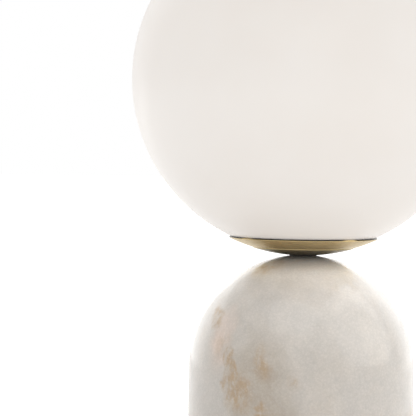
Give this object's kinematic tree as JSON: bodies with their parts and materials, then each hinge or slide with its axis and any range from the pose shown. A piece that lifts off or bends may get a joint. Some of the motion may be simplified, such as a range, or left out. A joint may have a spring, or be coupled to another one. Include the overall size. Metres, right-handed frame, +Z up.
{
  "type": "table lamp",
  "caption": "Table lamp with an opal glass globe standing in a shallow brass dish on a domed marble base; the globe lifts off for access to the screw-in bulb.",
  "frame": {"origin": "centre of the underside of the felt pad, on the surface the lamp stands on", "axes": "+Z up along the lamp's axis; front is -Y; the cable inlet is at the back, +Y; +X is to the right seen from the front"},
  "size_m": [0.2, 0.2, 0.3417],
  "materials": {
    "felt": "dense black felt",
    "stone": "polished light grey marble with ochre clouds",
    "black_rubber": "matt",
    "black_fibre": "pressed fibre",
    "antique_brass": "satin, turned, lacquered, aged tone",
    "brass_fittings": "bright turned",
    "opal_glass": "satin opal white, opaque to the eye",
    "zinc_steel": "zinc plated",
    "spring_steel": "tempered strip",
    "nickel_cap": "nickel plated",
    "solder": "dull tin",
    "black_plastic": "moulded",
    "pale_plastic": "unglazed white",
    "black_glass": "black glass",
    "white_plastic": "semi gloss",
    "white_board": "solder mask",
    "opal_plastic": "opal diffuser"
  },
  "bodies": {
    "base": {"base_pad": "felt", "marble_base": "stone", "cable_grommet": "black_rubber", "stem_tube": "zinc_steel", "base_washer": "zinc_steel", "lock_washer": "zinc_steel", "base_nut": "zinc_steel", "seat_washer": "black_fibre", "foot_disc": "antique_brass", "brass_dish": "antique_brass", "glass_gasket": "black_rubber", "carrier_plate": "zinc_steel", "spring_clips": "spring_steel", "clip_rivets": "zinc_steel", "carrier_washer": "zinc_steel", "carrier_nut": "brass_fittings", "lampholder_cap": "black_plastic", "lampholder_core": "pale_plastic", "lampholder_sleeve": "black_plastic", "screw_shell": "brass_fittings", "centre_contact": "brass_fittings", "terminal_screws": "brass_fittings", "grub_screw": "zinc_steel"},
    "globe": {"glass_globe": "opal_glass"},
    "bulb": {"bulb_tip": "solder", "bulb_insulator": "black_glass", "bulb_cap": "nickel_cap", "bulb_collar": "white_plastic", "led_board": "white_board", "bulb_diffuser": "opal_plastic"}
  },
  "joints": [
    {"name": "globe_lift", "type": "slide", "parent": "base", "child": "globe", "axis": [0, 0, 1], "range_m": [0, 0.145], "deforming": ["spring_clips"]},
    {"name": "bulb_unscrew", "type": "slide", "parent": "base", "child": "bulb", "axis": [0, 0, 1], "range_m": [0, 0.025]}
  ]
}
